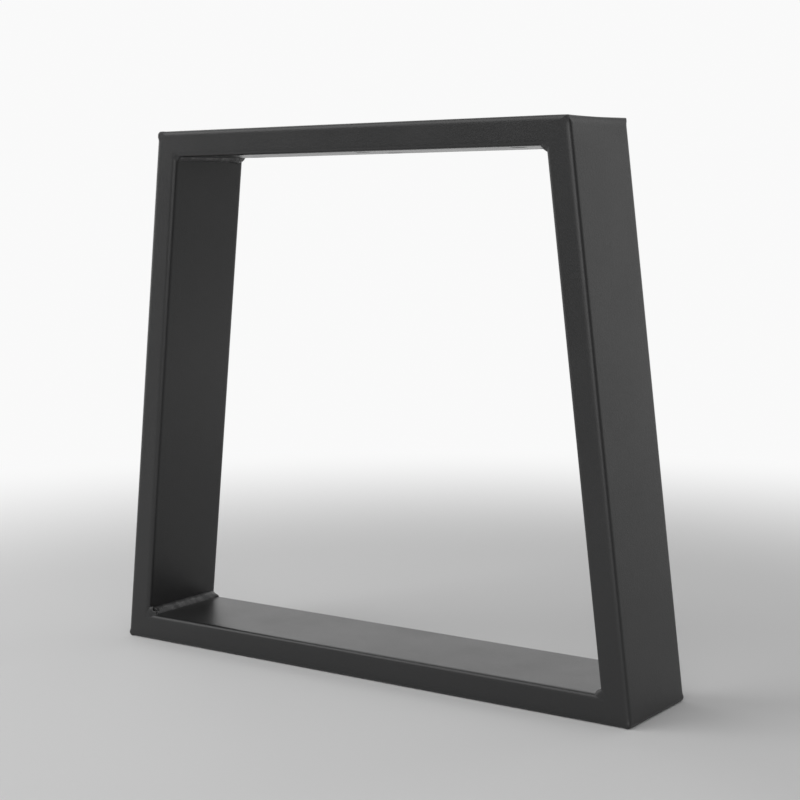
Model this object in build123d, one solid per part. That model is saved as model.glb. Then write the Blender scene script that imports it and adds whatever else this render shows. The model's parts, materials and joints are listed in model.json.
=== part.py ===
from build123d import *
import os
from math import hypot

# Trapezoid table leg: four mitre-cut rectangular steel tubes, welded into a frame that is wider at the
# floor than under the table top. Millimetres, +Z up. The origin is the middle of the footprint, on the
# floor. X runs along the width of the frame and Y through its depth, from front to back.

# Frame
LEG_HEIGHT = 400
FOOT_WIDTH = 450
TOP_WIDTH = 360

# Tube: its narrow side faces forward, its wide side runs from front to back
TUBE_DEPTH = 80
TUBE_FACE = 20
TUBE_WALL = 2
TUBE_OUTER_RADIUS = 3
TUBE_INNER_RADIUS = 1

# Holes in the top tube: a wide hole below lets the screw head and the bit reach the screw hole above
SCREW_HOLE_DIAMETER = 7
ACCESS_HOLE_DIAMETER = 12
HOLE_COLUMNS = 3
HOLE_ROWS = 2
HOLE_END_DISTANCE = 50
HOLE_EDGE_DISTANCE = 20

# Fillet welds in the inner corners
WELD_THROAT = 4.5
WELD_FACE_RADIUS = 7
WELD_END_SETBACK = 0.5

# How far an upright leans in for each millimetre of height, and its narrow side measured level
lean = (FOOT_WIDTH - TOP_WIDTH) / 2 / LEG_HEIGHT
upright_level_width = TUBE_FACE * hypot(1, lean)


def outer_half_width(height):
    """Half the outside width of the frame at a height above the floor."""
    return FOOT_WIDTH / 2 - lean * height


def inner_half_width(height):
    """Half the width of the window at a height above the floor."""
    return outer_half_width(height) - upright_level_width


# The frame's outer corners, and the inner corners of its window
floor_level = 0
window_bottom = TUBE_FACE
window_top = LEG_HEIGHT - TUBE_FACE
outer_corner = {
    "bottom_left": Vector(-outer_half_width(floor_level), 0, floor_level),
    "bottom_right": Vector(outer_half_width(floor_level), 0, floor_level),
    "top_right": Vector(outer_half_width(LEG_HEIGHT), 0, LEG_HEIGHT),
    "top_left": Vector(-outer_half_width(LEG_HEIGHT), 0, LEG_HEIGHT),
}
inner_corner = {
    "bottom_left": Vector(-inner_half_width(window_bottom), 0, window_bottom),
    "bottom_right": Vector(inner_half_width(window_bottom), 0, window_bottom),
    "top_right": Vector(inner_half_width(window_top), 0, window_top),
    "top_left": Vector(-inner_half_width(window_top), 0, window_top),
}

# Each tube runs between two corners, anticlockwise as seen from the front
tube_ends = {
    "bottom_tube": ("bottom_left", "bottom_right"),
    "right_upright": ("bottom_right", "top_right"),
    "top_tube": ("top_right", "top_left"),
    "left_upright": ("top_left", "bottom_left"),
}
depth_direction = Vector(0, 1, 0)


def bar_section():
    """The rolled tube's outer outline."""
    return RectangleRounded(TUBE_DEPTH, TUBE_FACE, TUBE_OUTER_RADIUS)


def tube_section():
    """The rolled tube's section, with its bore."""
    bore_depth = TUBE_DEPTH - 2 * TUBE_WALL
    bore_face = TUBE_FACE - 2 * TUBE_WALL
    return bar_section() - RectangleRounded(bore_depth, bore_face, TUBE_INNER_RADIUS)


def mitre_plane(corner, run):
    """The plane that halves a corner of the frame, facing the way that the tube runs."""
    mitre = inner_corner[corner] - outer_corner[corner]
    normal = depth_direction.cross(mitre)
    facing_run = normal if normal.dot(run) > 0 else -normal
    return Plane(origin=outer_corner[corner], x_dir=depth_direction, z_dir=facing_run)


def mitred_length(section, start, end):
    """A length of stock along one side of the frame, cut at the two mitre planes."""
    run = outer_corner[end] - outer_corner[start]
    inward = run.cross(depth_direction).normalized()
    middle = (outer_corner[start] + outer_corner[end]) / 2 + inward * TUBE_FACE / 2
    stock_plane = Plane(origin=middle, x_dir=depth_direction, z_dir=run)
    stock = extrude(stock_plane * section, run.length / 2 + TUBE_FACE, both=True)
    cut_at_start = split(stock, bisect_by=mitre_plane(start, run), keep=Keep.TOP)
    return split(cut_at_start, bisect_by=mitre_plane(end, -run), keep=Keep.TOP)


def ground_outline():
    """The frame's outside after its corner welds are ground to the rounding of the tube."""
    outline = Polyline(*outer_corner.values(), close=True)
    block = extrude(make_face(outline), TUBE_DEPTH / 2, both=True)
    return fillet(block.edges(), TUBE_OUTER_RADIUS)


def hole_pattern(diameter, wall_level):
    """A hole through one wall of the top tube at each place of the screw pattern."""
    column_spacing = (TOP_WIDTH - 2 * HOLE_END_DISTANCE) / (HOLE_COLUMNS - 1)
    row_spacing = (TUBE_DEPTH - 2 * HOLE_EDGE_DISTANCE) / (HOLE_ROWS - 1)
    places = GridLocations(column_spacing, row_spacing, HOLE_COLUMNS, HOLE_ROWS)
    drill = Cylinder(diameter / 2, TUBE_FACE)
    return [Pos(0, 0, wall_level) * place * drill for place in places]


def weld_bead(corner, bars):
    """A round-ended rod of weld metal in an inner corner, less what the tubes take up."""
    bead_length = TUBE_DEPTH - 2 * WELD_END_SETBACK
    half_slot = split(SlotOverall(bead_length, 2 * WELD_FACE_RADIUS), bisect_by=Plane.XZ, keep=Keep.TOP)
    rod = revolve(half_slot, Axis.X)
    out_of_corner = (inner_corner[corner] - outer_corner[corner]).normalized()
    centre = inner_corner[corner] - out_of_corner * (WELD_FACE_RADIUS - WELD_THROAT)
    return Plane(origin=centre, x_dir=depth_direction, z_dir=out_of_corner) * rod - bars


ground = ground_outline()
tubes = {name: mitred_length(tube_section(), *ends) & ground for name, ends in tube_ends.items()}
tubes["top_tube"] -= hole_pattern(ACCESS_HOLE_DIAMETER, window_top)
tubes["top_tube"] -= hole_pattern(SCREW_HOLE_DIAMETER, LEG_HEIGHT)

bars = [mitred_length(bar_section(), *ends) for ends in tube_ends.values()]
welds = {f"weld_{corner}": weld_bead(corner, bars) for corner in inner_corner}

os.makedirs("parts", exist_ok=True)
for name, piece in {**tubes, **welds}.items():
    export_step(piece, f"parts/{name}.step")
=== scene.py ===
import json
import math
import random

import bpy
from mathutils import Matrix, Vector, noise


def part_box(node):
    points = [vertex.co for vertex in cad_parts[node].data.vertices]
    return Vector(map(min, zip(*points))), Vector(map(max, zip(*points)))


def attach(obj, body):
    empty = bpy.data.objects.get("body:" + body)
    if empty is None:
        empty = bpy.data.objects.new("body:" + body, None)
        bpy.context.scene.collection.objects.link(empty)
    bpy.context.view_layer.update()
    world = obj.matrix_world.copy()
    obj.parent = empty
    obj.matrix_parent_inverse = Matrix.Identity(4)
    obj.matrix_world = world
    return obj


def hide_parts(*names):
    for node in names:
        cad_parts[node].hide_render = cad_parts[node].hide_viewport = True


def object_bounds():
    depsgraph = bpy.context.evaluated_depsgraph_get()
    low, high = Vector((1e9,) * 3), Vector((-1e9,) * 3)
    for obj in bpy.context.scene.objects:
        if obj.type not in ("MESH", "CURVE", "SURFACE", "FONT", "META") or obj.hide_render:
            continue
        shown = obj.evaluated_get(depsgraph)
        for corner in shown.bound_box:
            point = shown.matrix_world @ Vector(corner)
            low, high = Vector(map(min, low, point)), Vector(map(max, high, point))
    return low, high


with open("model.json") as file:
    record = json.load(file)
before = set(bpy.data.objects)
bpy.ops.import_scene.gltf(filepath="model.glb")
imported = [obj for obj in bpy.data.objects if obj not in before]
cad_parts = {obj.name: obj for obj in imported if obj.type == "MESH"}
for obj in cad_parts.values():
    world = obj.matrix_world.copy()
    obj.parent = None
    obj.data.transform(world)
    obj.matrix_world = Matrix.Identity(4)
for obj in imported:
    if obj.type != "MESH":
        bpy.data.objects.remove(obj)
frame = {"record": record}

# The finish of a trapezoid table leg: four coated steel tubes whose outer corners are welded and ground,
# with fillet welds left as laid in the inner corners. Metres, +Z up. The front of the leg faces -Y.

cad_low, cad_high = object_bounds()
top_low, top_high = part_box("top_tube")
MM = 0.001

# Frame: the widths are where the outer faces of the tubes would meet without rounding
FOOT_WIDTH = 450 * MM
TOP_WIDTH = 360 * MM
LEG_HEIGHT = cad_high.z - cad_low.z

# Tube
TUBE_DEPTH = cad_high.y - cad_low.y
TUBE_FACE = top_high.z - top_low.z
TUBE_WALL = 2 * MM

# Edges of the rolled tube: they start to turn this far from where the faces would meet, softly at first. A
# fullness of 2 would be a plain quarter circle
EDGE_REACH = 4.6 * MM
BORE_EDGE_REACH = 1.8 * MM
EDGE_FULLNESS = 3.3

# Ground corners: each has its rounding. Weld metal fills the tubes' rounded edges close to a corner, and
# the grinder leaves the middle of a top corner a little low. A fill has how low it was ground, the reach of
# its front and back edges, and how far along the tubes it goes
rounded_corners = {
    "bottom_left": 3 * MM,
    "bottom_right": 3 * MM,
    "top_right": 1.2 * MM,
    "top_left": 3 * MM,
}
square_corners = dict.fromkeys(rounded_corners, 0)
corner_fills = {
    "bottom_left": (0, 2.5 * MM, 3.0 * MM, 6 * MM),
    "bottom_right": (0, 3.4 * MM, 2.4 * MM, 6 * MM),
    "top_right": (0.3 * MM, 0.8 * MM, 1.8 * MM, 5.4 * MM),
    "top_left": (0, 1.7 * MM, 2.5 * MM, 7.2 * MM),
}
FILL_FADE = 3 * MM
DISH_DEPTH = 0.5 * MM
DISH_REACH = 22 * MM

# Holes in the top tube: the size and places of the screw holes come from the mounts, and there is an access
# hole below each
mounts = {mount["name"]: mount for mount in frame["record"]["mounts"]}
screw_dims = mounts["table_top_screws"]["dims"]
SCREW_HOLE_RADIUS = screw_dims["hole_r_mm"] * MM
hole_columns = [screw_dims["spacing_x_mm"] * MM * step / 2 for step in (-1, 0, 1)]
hole_row = screw_dims["spacing_y_mm"] * MM / 2
hole_places = [(x, y) for x in hole_columns for y in (-hole_row, hole_row)]
ACCESS_HOLE_RADIUS = 6 * MM
HOLE_RIM_RADIUS = 0.4 * MM
HOLE_COLLAR = 1 * MM
HOLE_CELL = 9 * MM

# Fillet welds: how far each reaches along its level tube and along its upright, and how far its face stands
# out between them. The toes waver TOE_WAVER times as far as the face swells
weld_sizes = {
    "bottom_left": (5.6 * MM, 4.8 * MM, 0.6 * MM),
    "bottom_right": (4.8 * MM, 4.6 * MM, 0.5 * MM),
    "top_right": (5.0 * MM, 4.2 * MM, 0.1 * MM),
    "top_left": (3.4 * MM, 3.4 * MM, 0.2 * MM),
}
WELD_END_GAP = 0.1 * MM
WELD_END_LENGTH = 2.6 * MM
WELD_SINK = 0.15 * MM
WELD_ROOT_SINK = 0.6 * MM
WELD_HALF_FACE = 3.6 * MM
TOE_WAVER = 1.3

# Faces of the welds: lumps at nearly even spacings, which differ in size and in how far across they lie,
# with ripples and an unevenness over them. LUMP_START and LUMP_STRAY are shares of the spacing, and
# UNEVEN_DRIFT is how many sizes apart the unevenness of two beads may be taken
LUMP_SPACING = 15.5 * MM
LUMP_START = 0.5
LUMP_STRAY = 0.2
LUMP_SIZES = (0.5, 1)
LUMP_SIDES = (-0.2, 0.8)
LUMP_LENGTH = 5 * MM
LUMP_HEIGHT = 0.4 * MM
RIPPLE_SPACING = 2.2 * MM
RIPPLE_HEIGHT = 0.06 * MM
RIPPLE_BOW = 1.6 * MM
UNEVEN_SIZE = 4 * MM
UNEVEN_HEIGHT = 0.18 * MM
UNEVEN_DRIFT = 4

# Single lumps, pits and rims in the beads: place through the depth, across from -1 to 1, a rim's radius,
# size, and height or depth. The pits are where the bead at the bottom left was ended
front_end = -TUBE_DEPTH / 2
back_end = TUBE_DEPTH / 2
weld_marks = {
    "bottom_left": [
        (front_end + 1.8 * MM, -0.8, 0, 2.0 * MM, 1.0 * MM),
        (front_end + 1.8 * MM, 0.6, 0, 2.0 * MM, 1.4 * MM),
        (front_end + 2.8 * MM, 0.1, 2.1 * MM, 0.9 * MM, 1.2 * MM),
        (front_end + 2.8 * MM, 0.1, 0, 1.15 * MM, -3.4 * MM),
        (front_end + 7.0 * MM, 0.1, 0, 0.9 * MM, -1.2 * MM),
        (back_end - 2 * MM, -0.9, 0, 2.5 * MM, 0.7 * MM),
        (back_end - 2 * MM, 0.6, 0, 3.5 * MM, -1.0 * MM),
    ],
    "top_left": [(back_end - 8 * MM, -0.5, 0, 5 * MM, 0.8 * MM)],
}

# How finely the surfaces are divided. ROW_CLEARANCE is the share of their spacing that even rows keep from
# the patch round a hole
EDGE_STEPS = 6
FACE_STEPS = 4
ARC_STEPS = 4
CORNER_ZONE = 34 * MM
ZONE_STEPS = 16
ZONE_CROWDING = 1.7
MIDDLE_SPACING = 22 * MM
ROW_CLEARANCE = 0.25
CELL_STEPS = 4
CELL_POINTS = 8 * CELL_STEPS
RIM_STEPS = 3
WELD_STATIONS = 200
WELD_FACE_STEPS = 24
MERGE_DISTANCE = 1e-6
SMOOTH_LIMIT = math.cos(math.radians(50))

DEPTH_DIRECTION = Vector((0, 1, 0))
lean = (FOOT_WIDTH - TOP_WIDTH) / 2 / LEG_HEIGHT
inner_half_foot = FOOT_WIDTH / 2 - lean * TUBE_FACE - TUBE_FACE * math.hypot(1, lean)
inner_half_top = TOP_WIDTH / 2 + lean * TUBE_FACE - TUBE_FACE * math.hypot(1, lean)
outer_corner = {
    "bottom_left": Vector((-FOOT_WIDTH / 2, 0, 0)),
    "bottom_right": Vector((FOOT_WIDTH / 2, 0, 0)),
    "top_right": Vector((TOP_WIDTH / 2, 0, LEG_HEIGHT)),
    "top_left": Vector((-TOP_WIDTH / 2, 0, LEG_HEIGHT)),
}
inner_corner = {
    "bottom_left": Vector((-inner_half_foot, 0, TUBE_FACE)),
    "bottom_right": Vector((inner_half_foot, 0, TUBE_FACE)),
    "top_right": Vector((inner_half_top, 0, LEG_HEIGHT - TUBE_FACE)),
    "top_left": Vector((-inner_half_top, 0, LEG_HEIGHT - TUBE_FACE)),
}

# Each tube runs between two corners, anticlockwise as seen from the front
tube_ends = {
    "bottom_tube": ("bottom_left", "bottom_right"),
    "right_upright": ("bottom_right", "top_right"),
    "top_tube": ("top_right", "top_left"),
    "left_upright": ("top_left", "bottom_left"),
}


def smooth_step(value, start, end):
    """0 before start, 1 after end, and a soft change between them."""
    share = min(max((value - start) / (end - start), 0), 1)
    return share * share * (3 - 2 * share)


def half_angle(corner):
    """The angle between a side of the frame and the mitre at its end."""
    mitre = inner_corner[corner] - outer_corner[corner]
    level_side = Vector((-outer_corner[corner].x, 0, 0))
    return mitre.angle(level_side)


class Side:
    """One side of the frame: a tube's outer face, from corner to corner."""

    def __init__(self, first, last):
        self.corners = (first, last)
        self.start = outer_corner[first]
        whole = outer_corner[last] - outer_corner[first]
        self.length = whole.length
        self.run = whole.normalized()
        self.inward = self.run.cross(DEPTH_DIRECTION)

    def point(self, along, inset, depth):
        """A point by its distance from the first corner, in from the outer face and through the depth."""
        return self.start + self.run * along + self.inward * inset + DEPTH_DIRECTION * depth


class Surface:
    """Points and faces of one piece. Points that coincide are one point."""

    def __init__(self):
        self.points = []
        self.faces = []
        self.ends = []
        self.numbers = {}

    def number(self, point):
        """A point's number, new or known."""
        place = place_of(point)
        if place not in self.numbers:
            self.numbers[place] = len(self.points)
            self.points.append(point)
        return self.numbers[place]

    def add(self, faces, corners):
        """A face to a list of faces, unless its corners run together."""
        numbers = list(dict.fromkeys(self.number(c) for c in corners))
        if len(numbers) > 2:
            faces.append(numbers)

    def band(self, faces, first, second, flipped=False, skip=None):
        """Faces between two closed rows of as many points."""
        for k in range(len(first)):
            n = (k + 1) % len(first)
            corners = [first[k], first[n], second[n], second[k]]
            if skip and skip(sum(corners, Vector()) / len(corners)):
                continue
            self.add(faces, corners[::-1] if flipped else corners)

    def mesh(self, name):
        """A smooth Blender mesh of the faces, with the end faces last."""
        made = bpy.data.meshes.new(name)
        made.from_pydata(self.points, [], self.faces + self.ends)
        made.shade_smooth()
        return made


def place_of(point):
    """Where a point lies, to the distance at which points are one."""
    return tuple(round(value / MERGE_DISTANCE) for value in point)


def cell_lines(middle):
    """Evenly spaced lines across the square patch round a hole."""
    return [middle + HOLE_CELL * step / CELL_STEPS for step in range(-CELL_STEPS, CELL_STEPS + 1)]


def flat_lines(half_width):
    """Lines along a tube's wide wall, from its middle to where its edge starts to round."""
    cell = cell_lines(hole_row)
    return [0, cell[0] / 2, *cell, (cell[-1] + half_width) / 2, half_width]


def edge_height(along):
    """How high an edge stands at a share of its reach: 1 at its start, down to 0 at the other face."""
    return (1 - along**EDGE_FULLNESS) ** (1 / EDGE_FULLNESS)


def edge_points():
    """Points inside an edge's turn, as shares of its reach along the first face and across it."""
    middle = 0.5 ** (1 / EDGE_FULLNESS)
    start = [middle * step / EDGE_STEPS for step in range(1, EDGE_STEPS + 1)]
    first = [(along, edge_height(along)) for along in start]
    return first + [(height, along) for along, height in reversed(first[:-1])]


def half_outline(inset, half, face, outer_reach, inner_reach):
    """Points round the back half of a tube's section, from its outer face. Each is (inset, depth)."""
    far = inset + face
    narrow_start = inset + outer_reach
    narrow_length = face - outer_reach - inner_reach
    points = [(inset, line) for line in flat_lines(half - outer_reach)]
    for along, across in edge_points():
        points.append((narrow_start - outer_reach * across, half - outer_reach * (1 - along)))
    points += [(narrow_start + narrow_length * step / FACE_STEPS, half) for step in range(FACE_STEPS + 1)]
    for along, across in edge_points():
        points.append((far - inner_reach * (1 - along), half - inner_reach * (1 - across)))
    return points + [(far, line) for line in reversed(flat_lines(half - inner_reach))]


def closed_outline(inset, depth, face, front_reach, back_reach, inner_reach):
    """Points round a tube's section, from the middle of its outer face to the back and on to the front."""
    back_half = half_outline(inset, depth / 2, face, back_reach, inner_reach)
    front_half = half_outline(inset, depth / 2, face, front_reach, inner_reach)
    return back_half + [(i, -d) for i, d in reversed(front_half[1:-1])]


def outside_outline(corner, distance):
    """The tube's outside at a distance from a corner, with the weld metal and the grinding there."""
    low, *filled, length = corner_fills[corner]
    bare = smooth_step(distance, length - FILL_FADE, length)
    front_reach, back_reach = [reach + (EDGE_REACH - reach) * bare for reach in filled]
    dish = 0
    if corner.startswith("top"):
        dish = DISH_DEPTH * (1 - smooth_step(distance, 0, DISH_REACH))
    outline = []
    for inset, depth in closed_outline(0, TUBE_DEPTH, TUBE_FACE, front_reach, back_reach, EDGE_REACH):
        ground = low * (1 - bare) + dish * (1 - (2 * depth / TUBE_DEPTH) ** 2)
        outline.append((inset + ground * max(1 - inset / EDGE_REACH, 0), depth))
    return outline


def bore_outline(corner, distance):
    """The tube's bore, which is the same at any distance from any corner."""
    depth = TUBE_DEPTH - 2 * TUBE_WALL
    face = TUBE_FACE - 2 * TUBE_WALL
    return closed_outline(TUBE_WALL, depth, face, BORE_EDGE_REACH, BORE_EDGE_REACH, BORE_EDGE_REACH)


def near_corner(inset, share, turn, angle, radius):
    """Distance from the outer corner along a side, and inset, of a point near that corner. share goes from
    0 at the corner to 1 at the end of its zone, and turn from 0 to 1 round the corner to the mitre."""
    arc = radius - inset
    if arc <= 0:
        start = inset / math.tan(angle)
        return start + (CORNER_ZONE - start) * share, inset
    tangent = radius / math.tan(angle)
    if turn:
        turned = turn * (math.pi / 2 - angle)
        return tangent - arc * math.sin(turned), radius - arc * math.cos(turned)
    return tangent + (CORNER_ZONE - tangent) * share, inset


def corner_rows(side, at_end, outline_at, radii):
    """Rows of points across a tube, from the mitre to the end of the corner's zone."""
    corner = side.corners[at_end]
    radius = radii[corner]
    angle = half_angle(corner)
    steps = [(0, 1 - step / ARC_STEPS) for step in range(ARC_STEPS)]
    steps += [((step / ZONE_STEPS) ** ZONE_CROWDING, 0) for step in range(ZONE_STEPS + 1)]
    rows = []
    for share, turn in steps:
        row = []
        distance = radius * (1 - turn) * (1 - share) + CORNER_ZONE * share
        for inset, depth in outline_at(corner, distance):
            along, inset = near_corner(inset, share, turn, angle, radius)
            row.append(side.point(side.length - along if at_end else along, inset, depth))
        rows.append(row)
    return rows


def middle_lines(side, columns):
    """Distances of the rows between a side's two corner zones, with the patches of any holes."""
    count = round((side.length - 2 * CORNER_ZONE) / MIDDLE_SPACING)
    spacing = (side.length - 2 * CORNER_ZONE) / count
    even = [CORNER_ZONE + spacing * step for step in range(1, count)]
    room = HOLE_CELL + ROW_CLEARANCE * spacing
    clear = [line for line in even if all(abs(line - column) > room for column in columns)]
    return sorted(clear + [line for column in columns for line in cell_lines(column)])


def tube_rows(side, columns, outline_at, radii):
    """All rows of points along a tube, from mitre to mitre."""
    rows = corner_rows(side, False, outline_at, radii)
    outline = outline_at(side.corners[0], CORNER_ZONE)
    for along in middle_lines(side, columns):
        rows.append([side.point(along, inset, depth) for inset, depth in outline])
    return rows + corner_rows(side, True, outline_at, radii)[::-1]


def in_hole_cell(point):
    """Whether a point of the top tube lies in the square patch round a hole."""
    return any(abs(point.x - x) < HOLE_CELL and abs(point.y - y) < HOLE_CELL for x, y in hole_places)


def cell_edge(place, level):
    """Points round the square patch of a hole, starting in the middle of its +X side."""
    points = []
    for step in range(CELL_POINTS):
        quarter, part = divmod(step + CELL_STEPS, 2 * CELL_STEPS)
        offset = Vector((HOLE_CELL, HOLE_CELL * (part / CELL_STEPS - 1), 0))
        offset.rotate(Matrix.Rotation(quarter * math.pi / 2, 3, "Z"))
        points.append(Vector((*place, level)) + offset)
    return points


def circle(place, radius, level):
    """Points round a hole, in step with those of its square patch."""
    x, y = place
    angles = [2 * math.pi * step / CELL_POINTS for step in range(CELL_POINTS)]
    return [Vector((x + radius * math.cos(a), y + radius * math.sin(a), level)) for a in angles]


def add_hole(surface, place, radius, skin_level, bore_level):
    """A hole through a wall of the top tube, with its rims softened by the coat."""
    into = math.copysign(1, bore_level - skin_level)
    collar = radius + HOLE_RIM_RADIUS + HOLE_COLLAR
    turns = [math.pi / 2 * step / RIM_STEPS for step in range(RIM_STEPS + 1)]
    rows = [cell_edge(place, skin_level), circle(place, collar, skin_level)]
    for a in turns:
        level = skin_level + into * HOLE_RIM_RADIUS * (1 - math.cos(a))
        rows.append(circle(place, radius + HOLE_RIM_RADIUS * (1 - math.sin(a)), level))
    for a in turns:
        level = bore_level - into * HOLE_RIM_RADIUS * (1 - math.sin(a))
        rows.append(circle(place, radius + HOLE_RIM_RADIUS * (1 - math.cos(a)), level))
    rows += [circle(place, collar, bore_level), cell_edge(place, bore_level)]
    for first, second in zip(rows, rows[1:]):
        surface.band(surface.faces, first, second, flipped=into > 0)


def tube_surface(name):
    """A mitred tube with its bore, its holes and its cut ends."""
    side = Side(*tube_ends[name])
    holed = name == "top_tube"
    columns = [side.start.x - x for x in hole_columns] if holed else []
    skip = in_hole_cell if holed else None
    surface = Surface()
    outside = tube_rows(side, columns, outside_outline, rounded_corners)
    bore = tube_rows(side, columns, bore_outline, square_corners)
    for first, second in zip(outside, outside[1:]):
        surface.band(surface.faces, first, second, skip=skip)
    for first, second in zip(bore, bore[1:]):
        surface.band(surface.faces, first, second, flipped=True, skip=skip)
    if holed:
        for place in hole_places:
            add_hole(surface, place, SCREW_HOLE_RADIUS, LEG_HEIGHT, LEG_HEIGHT - TUBE_WALL)
            underside = LEG_HEIGHT - TUBE_FACE
            add_hole(surface, place, ACCESS_HOLE_RADIUS, underside, underside + TUBE_WALL)
    surface.band(surface.ends, outside[0], bore[0], flipped=True)
    surface.band(surface.ends, outside[-1], bore[-1])
    return surface


def area_vector(points):
    """A face's normal, as long as the face is large."""
    total = Vector()
    for k in range(1, len(points) - 1):
        total += (points[k] - points[0]).cross(points[k + 1] - points[0]) / 2
    return total


def faces_around(surfaces):
    """The faces of the surfaces that meet at each place, so that the coat runs smoothly over the mitres."""
    around = {}
    for surface in surfaces:
        for face in surface.faces:
            corners = [surface.points[n] for n in face]
            area = area_vector(corners)
            for corner in corners:
                around.setdefault(place_of(corner), []).append((area.normalized(), area))
    return around


def corner_normals(surface, around):
    """A normal for each corner of each face: large faces count most, and sharp edges stay sharp."""
    normals = []
    for face in surface.faces:
        corners = [surface.points[n] for n in face]
        own = area_vector(corners).normalized()
        for corner in corners:
            near = [area for unit, area in around[place_of(corner)] if unit.dot(own) > SMOOTH_LIMIT]
            normals.append(sum(near, Vector()).normalized())
    for face in surface.ends:
        own = area_vector([surface.points[n] for n in face]).normalized()
        normals += [own] * len(face)
    return normals


def add_piece(name, mesh, material, node):
    """A finished piece that stands for a node of the frame."""
    mesh.materials.append(material)
    piece = bpy.data.objects.new(name, mesh)
    bpy.context.scene.collection.objects.link(piece)
    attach(piece, "root")
    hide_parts(node)


def add_tubes(material):
    """The four tubes of the frame."""
    surfaces = {name: tube_surface(name) for name in tube_ends}
    around = faces_around(surfaces.values())
    for name, surface in surfaces.items():
        mesh = surface.mesh(f"coated_{name}")
        mesh.normals_split_custom_set(corner_normals(surface, around))
        add_piece(f"coated_{name}", mesh, material, name)


def weld_end_share(depth):
    """How much of a bead is left at a place through the depth: 1 along most of it, 0 at its ends."""
    straight = TUBE_DEPTH / 2 - WELD_END_GAP - WELD_END_LENGTH
    past = min(max(abs(depth) - straight, 0) / WELD_END_LENGTH, 1)
    return math.sqrt(1 - past * past)


def tube_edge_recess(depth):
    """How far the rounded edge of a tube falls back from its face at a place through the depth."""
    past = max(abs(depth) - TUBE_DEPTH / 2 + EDGE_REACH, 0)
    return EDGE_REACH * (1 - edge_height(past / EDGE_REACH))


class WeldFace:
    """The uneven face of one weld bead, as it was laid."""

    def __init__(self, seed, marks):
        chance = random.Random(seed)
        self.marks = marks
        self.drift = Vector([chance.uniform(-UNEVEN_DRIFT, UNEVEN_DRIFT) for axis in range(3)])
        self.ripple_start = chance.uniform(0, RIPPLE_SPACING)
        count = math.ceil(TUBE_DEPTH / LUMP_SPACING) + 1
        first = front_end + chance.uniform(-LUMP_START, LUMP_START) * LUMP_SPACING
        self.lumps = []
        for k in range(count):
            place = first + (k + chance.uniform(-LUMP_STRAY, LUMP_STRAY)) * LUMP_SPACING
            size = chance.uniform(*LUMP_SIZES)
            side = chance.uniform(*LUMP_SIDES)
            self.lumps.append((place, size, side))

    def swell(self, depth, across):
        """How far the face stands out at a place through the depth and across it, from -1 to 1."""
        total = 0
        for place, size, side in self.lumps:
            reach = ((depth - place) / LUMP_LENGTH) ** 2 + (across - side) ** 2
            total += LUMP_HEIGHT * size * math.exp(-reach)
        crest = (depth + self.ripple_start - RIPPLE_BOW * across * across) / RIPPLE_SPACING
        total += RIPPLE_HEIGHT * math.sin(2 * math.pi * crest)
        spot = Vector((depth, across * WELD_HALF_FACE, 0)) / UNEVEN_SIZE + self.drift
        total += UNEVEN_HEIGHT * noise.noise(spot)
        for place, side, radius, size, height in self.marks:
            away = math.hypot(depth - place, (across - side) * WELD_HALF_FACE)
            total += height * math.exp(-(((away - radius) / size) ** 2))
        return total


def weld_surface(corner, weld_face):
    """A weld bead in an inner corner, with its root inside the tubes' walls."""
    level_leg, upright_leg, crown = weld_sizes[corner]
    root = inner_corner[corner]
    out = (root - outer_corner[corner]).normalized()
    across = out.cross(DEPTH_DIRECTION)
    half = half_angle(corner)
    reach = TUBE_DEPTH / 2 - WELD_END_GAP
    rows = []
    for station in range(WELD_STATIONS + 1):
        depth = -reach * math.cos(math.pi * station / WELD_STATIONS)
        middle = root + DEPTH_DIRECTION * depth
        share = weld_end_share(depth)
        sink = WELD_SINK + tube_edge_recess(depth)
        toes = []
        for side in (-1, 1):
            along = out * math.cos(half) + across * side * math.sin(half)
            into = across * side * math.cos(half) - out * math.sin(half)
            leg = level_leg if abs(along.x) > abs(along.z) else upright_leg
            leg = (leg + TOE_WAVER * weld_face.swell(depth, side)) * share
            toes.append(middle + along * leg + into * sink)
        row = [middle - out * (WELD_ROOT_SINK + sink)]
        for step in range(WELD_FACE_STEPS + 1):
            place = 2 * step / WELD_FACE_STEPS - 1
            lift = (crown + weld_face.swell(depth, place)) * share * (1 - place * place)
            row.append(toes[0].lerp(toes[1], step / WELD_FACE_STEPS) + out * lift)
        rows.append(row)
    surface = Surface()
    for first, second in zip(rows, rows[1:]):
        surface.band(surface.faces, first, second, flipped=True)
    surface.add(surface.ends, rows[0])
    surface.add(surface.ends, rows[-1][::-1])
    return surface


def add_welds(material):
    """The four fillet welds."""
    for seed, corner in enumerate(inner_corner):
        surface = weld_surface(corner, WeldFace(seed, weld_marks.get(corner, [])))
        mesh = surface.mesh(f"coated_weld_{corner}")
        mesh.normals_split_custom_set(corner_normals(surface, faces_around([surface])))
        add_piece(f"coated_weld_{corner}", mesh, material, f"weld_{corner}")


# Powder coat: orange peel and a fine grain in relief, a colour that strays with the grain by a share, and a
# roughness that strays over the wider spots of its sheen
COAT_COLOUR = (0.017, 0.0171, 0.0174)
COLOUR_STRAY = 0.15
COAT_ROUGHNESS = 0.32
ROUGHNESS_STRAY = 0.06
PEEL_SIZE = 1.4 * MM
PEEL_DETAIL = 1
GRAIN_SIZE = 0.35 * MM
GRAIN_DETAIL = 2
SHEEN_SIZE = 40 * MM
SHEEN_DETAIL = 3
COAT_RELIEF = 0.07 * MM
WELD_RELIEF = 0.08 * MM


def add_node(tree, kind, **settings):
    """A shader node with its settings."""
    node = tree.nodes.new(kind)
    for name, value in settings.items():
        setattr(node, name, value)
    return node


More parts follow.
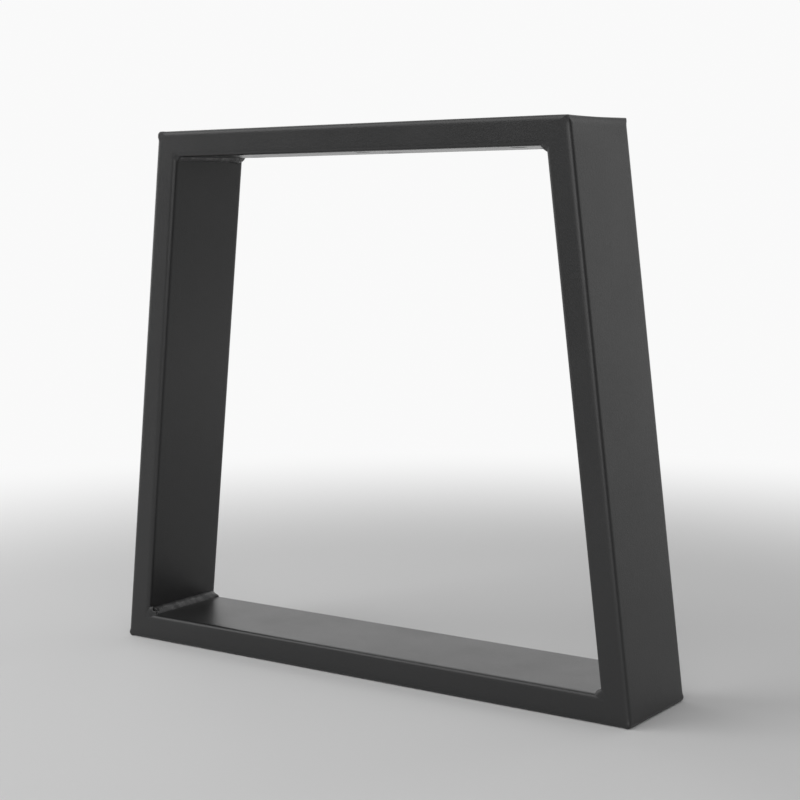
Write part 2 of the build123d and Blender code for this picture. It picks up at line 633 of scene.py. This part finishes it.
def add_noise(tree, vector, size, detail):
    """Noise whose lumps are about one size."""
    node = add_node(tree, "ShaderNodeTexNoise")
    node.inputs["Scale"].default_value = 1 / size
    node.inputs["Detail"].default_value = detail
    tree.links.new(vector, node.inputs["Vector"])
    return node.outputs["Fac"]


def add_math(tree, operation, first, second):
    """One value worked out from two."""
    node = add_node(tree, "ShaderNodeMath", operation=operation)
    tree.links.new(first, node.inputs[0])
    tree.links.new(second, node.inputs[1])
    return node.outputs[0]


def add_between(tree, data_type, share, low, high):
    """A colour or value that lies between two others by a share."""
    node = add_node(tree, "ShaderNodeMix", data_type=data_type)
    tree.links.new(share, node.inputs["Factor"])
    tree.links.new(low, node.inputs["A"])
    tree.links.new(high, node.inputs["B"])
    return node.outputs["Result"]


def coat_group():
    """The texture of the powder coat: orange peel with a fine grain, and an uneven sheen."""
    tree = bpy.data.node_groups.new("powder_coat_texture", "ShaderNodeTree")
    sockets = tree.interface
    for name in ("Colour Low", "Colour High"):
        sockets.new_socket(name, in_out="INPUT", socket_type="NodeSocketColor")
    for name in ("Roughness Low", "Roughness High"):
        sockets.new_socket(name, in_out="INPUT", socket_type="NodeSocketFloat")
    sockets.new_socket("Colour", in_out="OUTPUT", socket_type="NodeSocketColor")
    sockets.new_socket("Roughness", in_out="OUTPUT", socket_type="NodeSocketFloat")
    sockets.new_socket("Height", in_out="OUTPUT", socket_type="NodeSocketFloat")
    given = add_node(tree, "NodeGroupInput").outputs
    place = add_node(tree, "ShaderNodeTexCoord").outputs["Object"]
    peel = add_noise(tree, place, PEEL_SIZE, PEEL_DETAIL)
    grain = add_noise(tree, place, GRAIN_SIZE, GRAIN_DETAIL)
    sheen = add_noise(tree, place, SHEEN_SIZE, SHEEN_DETAIL)
    made = {
        "Colour": add_between(tree, "RGBA", grain, given["Colour Low"], given["Colour High"]),
        "Roughness": add_between(tree, "FLOAT", sheen, given["Roughness Low"], given["Roughness High"]),
        "Height": add_math(tree, "ADD", peel, grain),
    }
    output = add_node(tree, "NodeGroupOutput")
    for name, socket in made.items():
        tree.links.new(socket, output.inputs[name])
    return tree


def coat_material(name, group, relief):
    """Powder coat over one kind of steel surface."""
    material = bpy.data.materials.new(name)
    material.use_nodes = True
    tree = material.node_tree
    shader = tree.nodes["Principled BSDF"]
    texture = add_node(tree, "ShaderNodeGroup", node_tree=group)
    texture.inputs["Colour Low"].default_value = (*[c * (1 - COLOUR_STRAY) for c in COAT_COLOUR], 1)
    texture.inputs["Colour High"].default_value = (*[c * (1 + COLOUR_STRAY) for c in COAT_COLOUR], 1)
    texture.inputs["Roughness Low"].default_value = COAT_ROUGHNESS - ROUGHNESS_STRAY
    texture.inputs["Roughness High"].default_value = COAT_ROUGHNESS + ROUGHNESS_STRAY
    bump = add_node(tree, "ShaderNodeBump")
    bump.inputs["Distance"].default_value = relief
    tree.links.new(texture.outputs["Height"], bump.inputs["Height"])
    tree.links.new(texture.outputs["Colour"], shader.inputs["Base Color"])
    tree.links.new(texture.outputs["Roughness"], shader.inputs["Roughness"])
    tree.links.new(bump.outputs["Normal"], shader.inputs["Normal"])
    return material


# Camera: where the photograph was taken from
CAMERA_PLACE = (0.7407, -1.0275, 0.3492)
CAMERA_AZIMUTH = math.radians(36.23)
CAMERA_ELEVATION = math.radians(5.58)
CAMERA_ROLL = math.radians(-0.74)
CAMERA_SHIFT = (0.0397, -0.0437)
SENSOR_WIDTH = 36
LENS = 78.085


def add_camera():
    """The camera at the photograph's viewing angle."""
    data = bpy.data.cameras.new("camera")
    data.sensor_width = SENSOR_WIDTH
    data.lens = LENS
    data.shift_x, data.shift_y = CAMERA_SHIFT
    camera = bpy.data.objects.new("camera", data)
    bpy.context.scene.collection.objects.link(camera)
    turn = Matrix.Rotation(CAMERA_AZIMUTH, 4, "Z")
    tilt = Matrix.Rotation(math.pi / 2 - CAMERA_ELEVATION, 4, "X")
    roll = Matrix.Rotation(CAMERA_ROLL, 4, "Z")
    camera.matrix_world = Matrix.Translation(CAMERA_PLACE) @ turn @ tilt @ roll
    bpy.context.scene.camera = camera


# Studio: even light from above and below the horizon, and a white backdrop. The camera sees the backdrop
# all round, and reflections see it towards one side, between two cosines of the angle from there. For the
# camera the floor fades into the backdrop between two distances from the leg. In reflections the floor
# behind
# the leg has a painted white glow: painted light that only reflections see. Its soft front edge is measured
# backwards from the middle of the leg, and its soft right edge leftwards
BACKDROP_WHITE = 0.95
BACKDROP_AZIMUTH = math.radians(205)
BACKDROP_EDGE = (0, 1)
backdrop_side = (math.sin(BACKDROP_AZIMUTH), -math.cos(BACKDROP_AZIMUTH), 0)
FLOOR_GREY = 0.72
FLOOR_FADE = (0.4, 1.1)
FLOOR_RADIUS = 1.8
FLOOR_SIDES = 96
# Soft edges of the painted white glow on the floor behind the leg, which only reflections see
FLOOR_GLOW_FRONT_EDGE = (0.45, 0.65)
FLOOR_GLOW_RIGHT_EDGE = (-0.5, -0.3)
LIGHT_ABOVE = 0.3
LIGHT_BELOW = 0.12
HORIZON = (-0.03, 0.03)

# Lamps: place, width and height, and power
softboxes = {
    "high_softbox": ((-1.2, -1.2, 1.7), (1.4, 2.0), 15),
    "front_softbox": ((0.5, -2.2, 1.0), (2.4, 1.8), 19),
    "left_softbox": ((-1.74, -0.47, 0.6), (1.6, 1.4), 8),
    "right_softbox": ((1.41, -1.41, 0.6), (1.4, 1.2), 6),
    "back_softbox": ((-1.69, 0.62, 0.9), (1.4, 1.2), 5),
    "high_back_softbox": ((0.2, 1.6, 1.4), (1.6, 1.2), 3.5),
}


def add_background(tree, strength):
    """A background shader of an even white light."""
    node = add_node(tree, "ShaderNodeBackground")
    node.inputs["Color"].default_value = (1, 1, 1, 1)
    node.inputs["Strength"].default_value = strength
    return node.outputs["Background"]


def add_fade(tree, value, limits):
    """0 below the limits, 1 above them, and a soft change between them."""
    node = add_node(tree, "ShaderNodeMapRange", interpolation_type="SMOOTHSTEP")
    node.inputs["From Min"].default_value, node.inputs["From Max"].default_value = limits
    tree.links.new(value, node.inputs["Value"])
    return node.outputs["Result"]


def add_towards(tree, place, direction, limits):
    """A mask that grows towards a direction, between two limits."""
    node = add_node(tree, "ShaderNodeVectorMath", operation="DOT_PRODUCT")
    node.inputs[1].default_value = direction
    tree.links.new(add_node(tree, "ShaderNodeTexCoord").outputs[place], node.inputs[0])
    return add_fade(tree, node.outputs["Value"], limits)


def add_mixed(tree, share, first, second):
    """Two shaders, mixed."""
    node = add_node(tree, "ShaderNodeMixShader")
    tree.links.new(share, node.inputs[0])
    tree.links.new(first, node.inputs[1])
    tree.links.new(second, node.inputs[2])
    return node.outputs[0]


def add_world():
    """Soft light from all round, with a white backdrop that the camera and reflections see."""
    world = bpy.data.worlds.new("studio")
    bpy.context.scene.world = world
    world.use_nodes = True
    tree = world.node_tree
    tree.nodes.clear()
    path = add_node(tree, "ShaderNodeLightPath").outputs
    above = add_towards(tree, "Generated", (0, 0, 1), HORIZON)
    behind = add_towards(tree, "Generated", backdrop_side, BACKDROP_EDGE)
    mirrored = add_math(tree, "MULTIPLY", path["Is Glossy Ray"], behind)
    seen = add_math(tree, "MAXIMUM", path["Is Camera Ray"], mirrored)
    room = add_mixed(tree, above, add_background(tree, LIGHT_BELOW), add_background(tree, LIGHT_ABOVE))
    whole = add_mixed(tree, seen, room, add_background(tree, BACKDROP_WHITE))
    output = add_node(tree, "ShaderNodeOutputWorld")
    tree.links.new(whole, output.inputs["Surface"])


def floor_material():
    """A pale floor. Farther off the camera sees it fade to white, and reflections see a painted white glow
    on it.
    """
    material = bpy.data.materials.new("floor")
    material.use_nodes = True
    tree = material.node_tree
    tree.nodes.clear()
    matt = add_node(tree, "ShaderNodeBsdfDiffuse")
    matt.inputs["Color"].default_value = (FLOOR_GREY, FLOOR_GREY, FLOOR_GREY, 1)
    white = add_node(tree, "ShaderNodeEmission")
    white.inputs["Strength"].default_value = BACKDROP_WHITE
    away = add_node(tree, "ShaderNodeVectorMath", operation="LENGTH")
    tree.links.new(add_node(tree, "ShaderNodeTexCoord").outputs["Object"], away.inputs[0])
    path = add_node(tree, "ShaderNodeLightPath").outputs
    far = add_fade(tree, away.outputs["Value"], FLOOR_FADE)
    seen = add_math(tree, "MULTIPLY", path["Is Camera Ray"], far)
    # Painted light: a glowing white patch on the floor behind the leg, seen only in reflections
    behind = add_towards(tree, "Object", (0, 1, 0), FLOOR_GLOW_FRONT_EDGE)
    leftward = add_towards(tree, "Object", (-1, 0, 0), FLOOR_GLOW_RIGHT_EDGE)
    floor_glow = add_math(tree, "MULTIPLY", behind, leftward)
    mirrored = add_math(tree, "MULTIPLY", path["Is Glossy Ray"], floor_glow)
    share = add_math(tree, "MAXIMUM", seen, mirrored)
    whole = add_mixed(tree, share, matt.outputs[0], white.outputs[0])
    output = add_node(tree, "ShaderNodeOutputMaterial")
    tree.links.new(whole, output.inputs["Surface"])
    return material


def add_floor():
    """The round floor that the leg stands on."""
    bpy.ops.mesh.primitive_circle_add(vertices=FLOOR_SIDES, radius=FLOOR_RADIUS, fill_type="NGON")
    floor = bpy.context.object
    floor.name = "floor"
    floor.data.materials.append(floor_material())


def add_softbox(name, place, size, power):
    """A large soft lamp that faces the middle of the leg."""
    data = bpy.data.lights.new(name, "AREA")
    data.shape = "RECTANGLE"
    data.size, data.size_y = size
    data.energy = power
    lamp = bpy.data.objects.new(name, data)
    bpy.context.scene.collection.objects.link(lamp)
    target = Vector((0, 0, LEG_HEIGHT / 2))
    lamp.location = place
    lamp.rotation_mode = "QUATERNION"
    lamp.rotation_quaternion = (target - lamp.location).to_track_quat("-Z", "Y")


bpy.context.scene.view_settings.view_transform = "Standard"
texture_group = coat_group()
add_tubes(coat_material("coat_on_tube", texture_group, COAT_RELIEF))
add_welds(coat_material("coat_on_weld", texture_group, WELD_RELIEF))
add_camera()
add_world()
add_floor()
for softbox_name, softbox in softboxes.items():
    add_softbox(softbox_name, *softbox)
